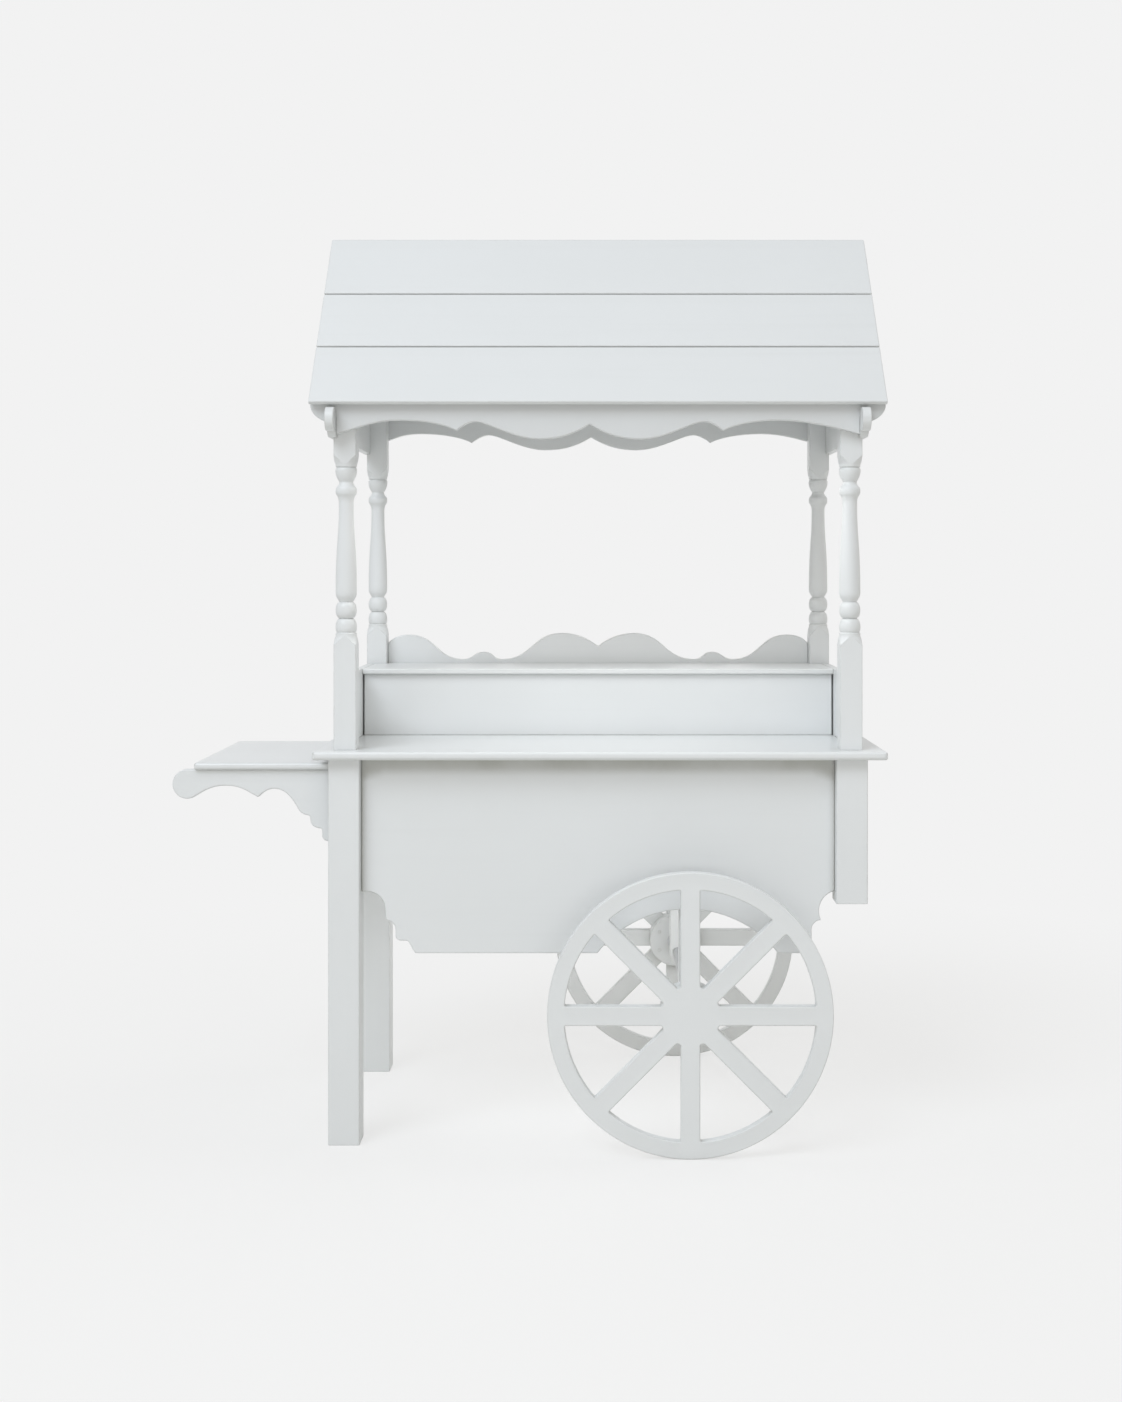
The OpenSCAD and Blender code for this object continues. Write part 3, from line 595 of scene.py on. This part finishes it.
def make_gable_plugs(pattern):
    """Plugs over the screws that go through each gable into the posts and the ridge beam."""
    heights_on_post = (0.016, 0.05)
    heights_on_ridge = (-0.014, 0.014)
    ridge = middle("ridge_beam")
    for side in ("left", "right"):
        gable_low, gable_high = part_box(side + "_gable")
        x = gable_low.x if side == "left" else gable_high.x
        spots = []
        for post in ("post_front_" + side, "post_rear_" + side):
            for up in heights_on_post:
                spots.append(((x, middle(post).y, gable_low.z + up), face_turns[side]))
        for up in heights_on_ridge:
            spots.append(((x, ridge.y, ridge.z + up), face_turns[side]))
        plugs = turned_copies(pattern, side + "_gable_plugs", spots)
        give_material(plugs, painted_wood("paint_" + plugs.name, "x", (3.1, 0.8, 1.9)))
        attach(plugs, "cart")


def make_fastenings():
    for make_pattern, set_down in (
        (make_cross_screw, make_hub_screws),
        (make_coach_screw, make_hanger_screws),
        (make_plug, make_gable_plugs),
    ):
        pattern = make_pattern()
        set_down(pattern)
        remove_pattern(pattern)


# Studio

backdrop_tone = (0.888, 0.888, 0.888, 1)


def seen_directly(tree):
    """1 for what the camera sees, also in a mirror or through glass."""
    path = add_node(tree, "ShaderNodeLightPath").outputs
    direct = maths(tree, "MAXIMUM", path["Is Camera Ray"], path["Is Glossy Ray"])
    return maths(tree, "MAXIMUM", direct, path["Is Transmission Ray"])


def make_floor():
    """Pale paper that shows the cart's shadow and fades into the backdrop further out."""
    bpy.ops.object.select_all(action="DESELECT")
    bpy.ops.mesh.primitive_circle_add(vertices=96, radius=14, fill_type="NGON", location=(body_x, 0, 0))
    floor = bpy.context.object
    floor.name = "studio_floor"
    settle_place()
    material, tree = blank_material("studio_floor_paper")
    lit, seen = (0.71, 0.7, 0.67, 1), (0.9, 0.9, 0.89, 1)
    paper = add_node(tree, "ShaderNodeBsdfDiffuse", {"Color": blended(tree, seen_directly(tree), lit, seen)})
    glow = add_node(tree, "ShaderNodeEmission", {"Color": backdrop_tone})
    place = add_node(tree, "ShaderNodeTexCoord")
    from_cart = vector_maths(tree, "SUBTRACT", place.outputs["Object"], (body_x, 0, 0))
    distance = add_node(tree, "ShaderNodeVectorMath", {0: from_cart.outputs["Vector"]}, operation="LENGTH")
    far = ranged(tree, distance.outputs["Value"], 0.9, 2.6, to_low=0.72)
    share = maths(tree, "MULTIPLY", far, seen_directly(tree))
    mix = add_node(tree, "ShaderNodeMixShader",
                   {"Fac": share, 1: paper.outputs["BSDF"], 2: glow.outputs["Emission"]})
    add_node(tree, "ShaderNodeOutputMaterial", {"Surface": mix.outputs["Shader"]})
    give_material(floor, material)


def make_world():
    """Slightly warm light from all round, behind a plain pale backdrop."""
    world = bpy.data.worlds.new("studio_air")
    world.use_nodes = True
    tree = world.node_tree
    tree.nodes.clear()
    light = add_node(tree, "ShaderNodeBackground", {"Color": (1.0, 0.975, 0.925, 1), "Strength": 0.46})
    seen = add_node(tree, "ShaderNodeBackground", {"Color": backdrop_tone})
    mix = add_node(tree, "ShaderNodeMixShader",
                   {"Fac": seen_directly(tree), 1: light.outputs["Background"], 2: seen.outputs["Background"]})
    add_node(tree, "ShaderNodeOutputWorld", {"Surface": mix.outputs["Shader"]})
    bpy.context.scene.world = world


def softbox(name, place, aim, width, height, share, tint=(1, 1, 1), glossy=True):
    """A soft light that gives this share of plain full light where it is aimed."""
    light = bpy.data.lights.new(name, "AREA")
    light.shape = "RECTANGLE"
    light.size = width
    light.size_y = height
    light.color = tint
    toward = Vector(aim) - Vector(place)
    light.energy = math.pi ** 2 * toward.length_squared * share
    made = bpy.data.objects.new(name, light)
    made.location = place
    made.rotation_euler = toward.to_track_quat("-Z", "Y").to_euler()
    made.visible_camera = False
    made.visible_glossy = glossy
    bpy.context.scene.collection.objects.link(made)


def make_lights():
    aim = (body_x, 0, 0.9)
    softbox("key_softbox", (-3.5, -5.21, 7.26), aim, 4.6, 4.6, 0.5, (0.872, 0.93, 1.0))
    softbox("high_front_softbox", (0.9, -3.47, 8.09), aim, 3.0, 3.0, 0.045, (0.92, 0.955, 1.0))
    softbox("low_front_softbox", (0.3, -3.1, 0.75), (body_x, 0, 0.5), 3.2, 0.5, 0.125)
    softbox("right_fill_softbox", (5.0, 0.8, 3.6), (body_x, 0, 1.1), 2.6, 2.2, 0.16, glossy=False)
    softbox("back_fill_softbox", (-0.6, 5.4, 1.4), aim, 3.4, 1.4, 0.33, (0.96, 0.985, 1.0), glossy=False)
    softbox("canopy_fill_softbox", (body_x, -0.24, 1.44), (body_x, -0.1, 0.83), 0.84, 0.2, 0.36,
            (1.0, 0.985, 0.95))
    softbox("under_body_fill_softbox", (body_x, -0.16, 0.5), (body_x + 0.1, 0.36, 0.2), 0.8, 0.1, 0.34)


def make_camera():
    """The photo's viewpoint: in front of the legs and looking level, its frame shifted as the photo's is."""
    photo_width, photo_height = 1122, 1402
    focal_pixels = 1740
    sight_x, sight_y = 598, 565
    stand_off, eye_height = 3.64, 1.2146
    lens = bpy.data.cameras.new("photo_camera")
    lens.sensor_fit = "AUTO"
    lens.sensor_width = 36
    lens.lens = focal_pixels / photo_height * lens.sensor_width
    lens.shift_x = (photo_width / 2 - sight_x) / photo_height
    lens.shift_y = (sight_y - photo_height / 2) / photo_height
    made = bpy.data.objects.new("photo_camera", lens)
    made.location = (body_x, leg_face_y - stand_off, eye_height)
    made.rotation_euler = (math.pi / 2, 0, 0)
    bpy.context.scene.collection.objects.link(made)
    bpy.context.scene.camera = made


make_camera()
finish_boards()
make_wheel("front_wheel", "front_wheel", (0.9, 2.3, 0.4))
make_wheel("rear_wheel", "rear_wheel", (2.9, 0.3, 1.4))
make_fastenings()
make_floor()
make_world()
make_lights()

bpy.context.scene.view_settings.view_transform = "Standard"
